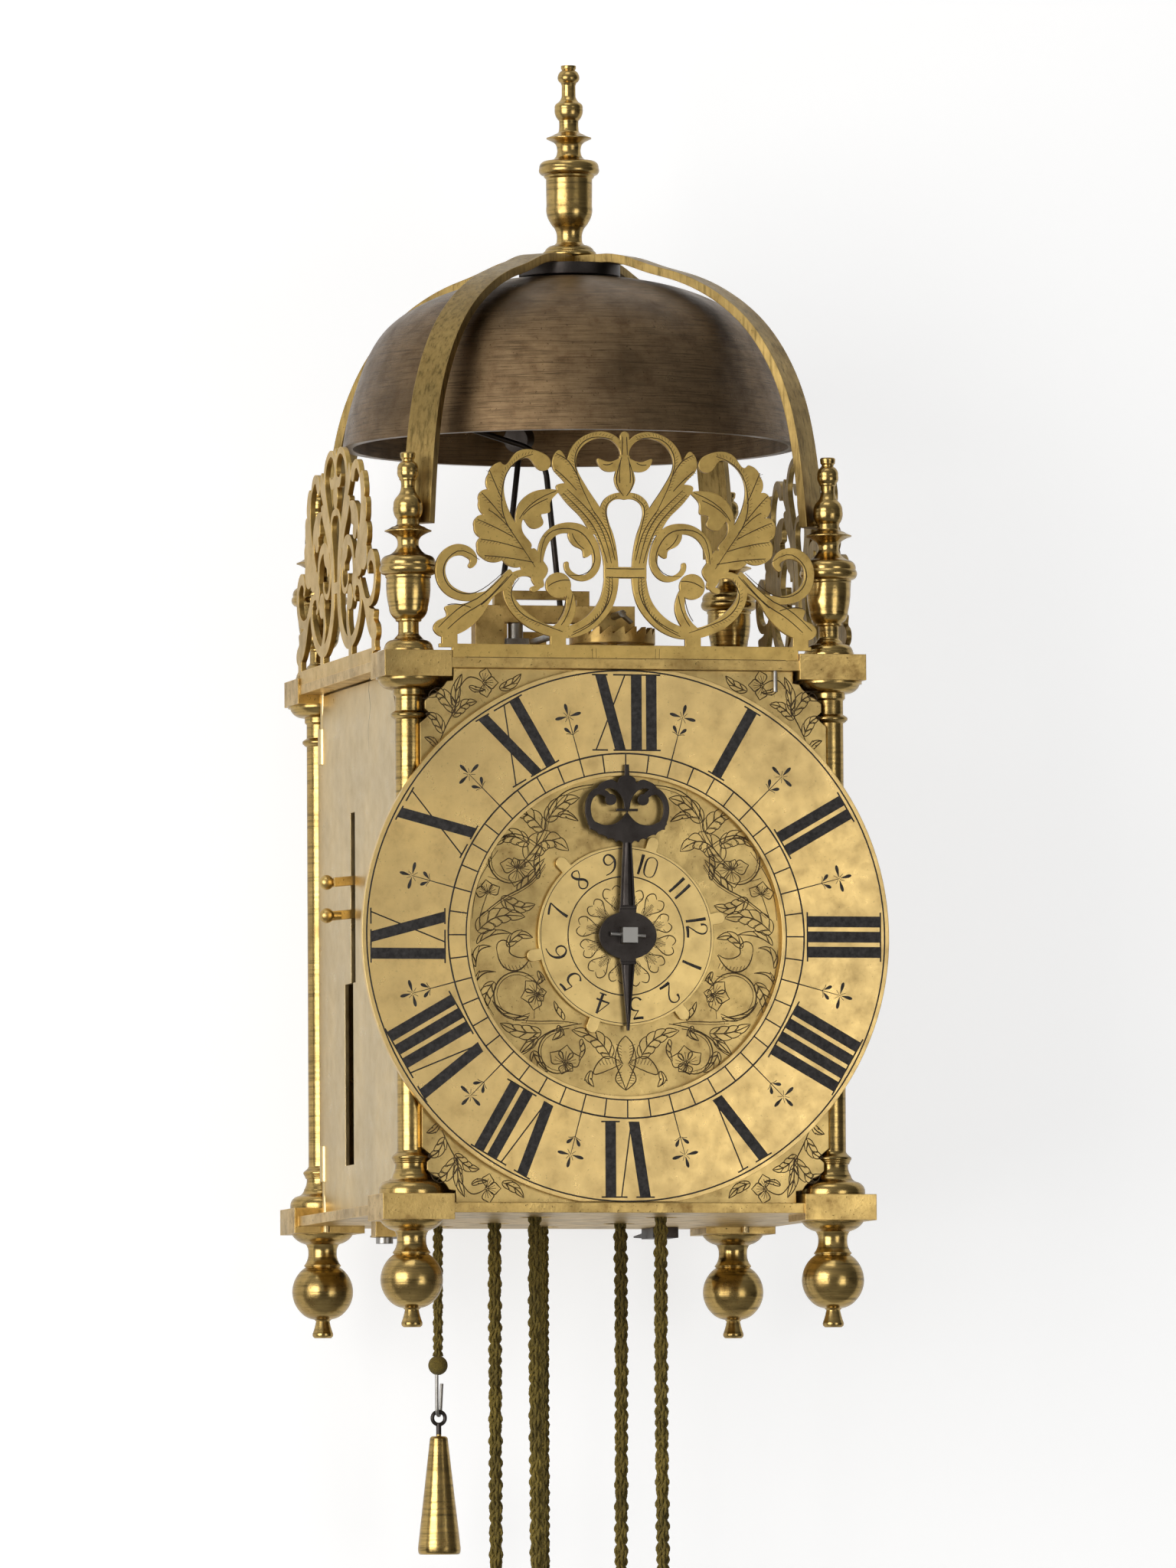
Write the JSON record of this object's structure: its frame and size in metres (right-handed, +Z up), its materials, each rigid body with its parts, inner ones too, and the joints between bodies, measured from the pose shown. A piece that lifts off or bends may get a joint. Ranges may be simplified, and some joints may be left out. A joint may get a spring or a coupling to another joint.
{
  "type": "lantern clock",
  "caption": "Weight-driven wall lantern clock with one hand, an alarm disc, a bell in an arched frame, pierced frets, side doors and rope-driven trains.",
  "frame": {"origin": "underside of the hanging hoop where the wall hook bears, in the middle of the hoop bar", "axes": "+Z up, +X to the right of someone who faces the dial, +Y from the dial to the wall"},
  "size_m": [0.1626, 0.1786, 0.4825],
  "materials": {
    "brass": "aged polished brass",
    "dial_brass": "engraved brass, lightly tarnished",
    "bell_bronze": "dark turned bell metal",
    "iron": "dark wrought iron",
    "steel": "dull steel",
    "bob_brass": "turned brass over lead",
    "rope": "plaited olive cord"
  },
  "bodies": {
    "case": {"top_plate": "brass", "bottom_plate": "brass", "pillars": "brass", "feet": "brass", "corner_finials": "brass", "top_finial": "brass", "bell": "bell_bronze", "bell_washer": "iron", "bell_strap_a": "brass", "bell_strap_b": "brass", "fret_front": "brass", "fret_left": "brass", "fret_right": "brass", "dial_plate": "dial_brass", "chapter_ring": "dial_brass", "bar_front": "brass", "bar_middle": "brass", "bar_back": "brass", "top_cock": "brass", "back_cock": "brass", "hammer_bridge": "brass", "back_plate": "brass", "hanging_hoop": "iron", "wall_spurs": "iron", "button_block": "brass", "screws_and_pins": "iron", "going_rope_over": "rope", "going_rope_down": "rope", "strike_rope_over": "rope", "strike_rope_down": "rope", "alarm_rope_over": "rope", "alarm_rope_down": "rope", "rope_hooks": "iron", "alarm_knot": "rope", "alarm_hook": "steel", "alarm_weight": "brass"},
    "going_great_wheel": {"going_great_wheel": "brass"},
    "going_pulley": {"going_pulley": "brass"},
    "contrate_wheel": {"contrate_wheel": "brass"},
    "crown_wheel": {"crown_wheel": "brass"},
    "hour_hand": {"hour_wheel": "brass", "hour_hand": "iron", "hand_pin": "steel"},
    "alarm_disc": {"alarm_disc": "dial_brass"},
    "pendulum": {"verge": "steel", "pendulum_bob": "bob_brass"},
    "strike_great_wheel": {"strike_great_wheel": "brass"},
    "strike_pulley": {"strike_pulley": "brass"},
    "locking_wheel": {"locking_wheel": "brass"},
    "fly": {"fly": "brass"},
    "count_wheel": {"count_wheel": "brass"},
    "strike_hammer": {"strike_hammer": "steel"},
    "alarm_wheel": {"alarm_wheel": "brass"},
    "alarm_hammer": {"alarm_hammer": "steel"},
    "lifting_lever": {"lifting_lever": "brass"},
    "locking_lever": {"locking_lever": "brass"},
    "door_left": {"door_left": "brass"},
    "door_right": {"door_right": "brass"}
  },
  "joints": [
    {"name": "going_turn", "type": "hinge", "parent": "case", "child": "going_great_wheel", "pos_m": [0, -0.1444, -0.11115], "axis": [0, 1, 0], "continuous": true},
    {"name": "going_pulley_turn", "type": "hinge", "parent": "going_great_wheel", "child": "going_pulley", "pos_m": [0, -0.1314, -0.11115], "axis": [0, 1, 0], "continuous": true},
    {"name": "contrate_turn", "type": "hinge", "parent": "case", "child": "contrate_wheel", "pos_m": [0, -0.1444, -0.07345], "axis": [0, 1, 0], "continuous": true},
    {"name": "crown_turn", "type": "hinge", "parent": "case", "child": "crown_wheel", "pos_m": [0.002, -0.146, -0.02385], "axis": [0, 0, 1], "continuous": true},
    {"name": "hour_turn", "type": "hinge", "parent": "case", "child": "hour_hand", "pos_m": [0, -0.1644, -0.08385], "axis": [0, 1, 0], "continuous": true},
    {"name": "alarm_set", "type": "hinge", "parent": "hour_hand", "child": "alarm_disc", "pos_m": [0, -0.1704, -0.08385], "axis": [0, 1, 0], "continuous": true},
    {"name": "pendulum_swing", "type": "hinge", "parent": "case", "child": "pendulum", "pos_m": [0.002, -0.0594, 0.01415], "axis": [0, 1, 0], "range_deg": [-8, 8]},
    {"name": "strike_turn", "type": "hinge", "parent": "case", "child": "strike_great_wheel", "pos_m": [0, -0.0694, -0.11115], "axis": [0, 1, 0], "continuous": true},
    {"name": "strike_pulley_turn", "type": "hinge", "parent": "strike_great_wheel", "child": "strike_pulley", "pos_m": [0, -0.0744, -0.11115], "axis": [0, 1, 0], "continuous": true},
    {"name": "locking_turn", "type": "hinge", "parent": "case", "child": "locking_wheel", "pos_m": [0, -0.0694, -0.07345], "axis": [0, 1, 0], "continuous": true},
    {"name": "fly_turn", "type": "hinge", "parent": "case", "child": "fly", "pos_m": [0, -0.0794, -0.04765], "axis": [0, 1, 0], "continuous": true},
    {"name": "count_turn", "type": "hinge", "parent": "case", "child": "count_wheel", "pos_m": [0.01729, -0.0484, -0.12969], "axis": [0, 1, 0], "continuous": true},
    {"name": "hammer_lift", "type": "hinge", "parent": "case", "child": "strike_hammer", "pos_m": [0.006, -0.0694, -0.01185], "axis": [0, 1, 0], "range_deg": [0, 8]},
    {"name": "alarm_turn", "type": "hinge", "parent": "case", "child": "alarm_wheel", "pos_m": [-0.0137, -0.0419, -0.04885], "axis": [0, 1, 0], "continuous": true},
    {"name": "alarm_hammer_swing", "type": "hinge", "parent": "case", "child": "alarm_hammer", "pos_m": [-0.0137, -0.0526, -0.02385], "axis": [0, 0, 1], "range_deg": [-12, 12]},
    {"name": "lifting", "type": "hinge", "parent": "case", "child": "lifting_lever", "pos_m": [-0.008, -0.0694, -0.02385], "axis": [0, 1, 0], "range_deg": [0, 3.5]},
    {"name": "locking", "type": "hinge", "parent": "case", "child": "locking_lever", "pos_m": [-0.008, -0.0694, -0.03585], "axis": [0, 1, 0], "range_deg": [0, 3.5]},
    {"name": "door_left_hinge", "type": "hinge", "parent": "case", "child": "door_left", "pos_m": [-0.0663, -0.0464, -0.08385], "axis": [0, 0, -1], "range_deg": [0, 85]},
    {"name": "door_right_hinge", "type": "hinge", "parent": "case", "child": "door_right", "pos_m": [0.0663, -0.0464, -0.08385], "axis": [0, 0, 1], "range_deg": [0, 85]}
  ],
  "couplings": [
    {"joint": "contrate_turn", "follows": "going_turn", "ratio": -8},
    {"joint": "crown_turn", "follows": "going_turn", "ratio": 64},
    {"joint": "hour_turn", "follows": "going_turn", "ratio": -0.083333},
    {"joint": "locking_turn", "follows": "strike_turn", "ratio": -8},
    {"joint": "fly_turn", "follows": "strike_turn", "ratio": 64},
    {"joint": "count_turn", "follows": "strike_turn", "ratio": -0.16667}
  ]
}
